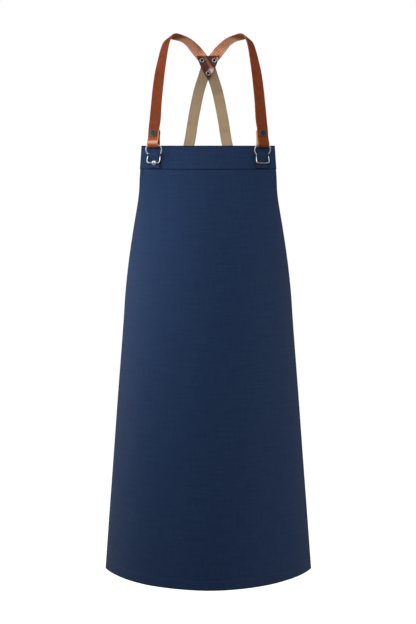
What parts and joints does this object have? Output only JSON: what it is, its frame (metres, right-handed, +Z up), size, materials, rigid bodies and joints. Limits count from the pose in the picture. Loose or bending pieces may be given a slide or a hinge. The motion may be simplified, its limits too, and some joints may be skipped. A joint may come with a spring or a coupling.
{
  "type": "bib apron",
  "caption": "Long navy cloth bib apron, curved as worn, with leather shoulder straps on wire buckles joined at a riveted back patch and khaki webbing down to its sides.",
  "frame": {"origin": "on the middle plane, level with the undersides of the two straps where they lie over the shoulders", "axes": "+X towards the apron's right side as seen from the front, +Y from the bib towards the back patch, +Z up"},
  "size_m": [0.4304, 0.2174, 1.096],
  "materials": {
    "navy_cloth": "dyed cotton twill, matte",
    "strap_leather": "smooth brown grain, pale flesh side",
    "patch_leather": "dark brown, slight sheen",
    "khaki_webbing": "ribbed cotton webbing, matte",
    "bright_nickel": "bright nickel plate",
    "antique_gunmetal": "dark antique plate, satin"
  },
  "bodies": {
    "root": {"apron_panel": "navy_cloth", "top_band": "navy_cloth", "tab_left": "navy_cloth", "tab_right": "navy_cloth", "tab_stud_left": "bright_nickel", "tab_stud_right": "bright_nickel", "buckle_left": "bright_nickel", "buckle_right": "bright_nickel", "leather_strap_left": "strap_leather", "leather_strap_right": "strap_leather", "strap_snap_left": "antique_gunmetal", "strap_snap_right": "antique_gunmetal", "back_patch": "patch_leather", "patch_rivet_left": "antique_gunmetal", "patch_rivet_right": "antique_gunmetal", "patch_rivet_tip": "antique_gunmetal", "webbing_left": "khaki_webbing", "webbing_right": "khaki_webbing"}
  },
  "joints": []
}
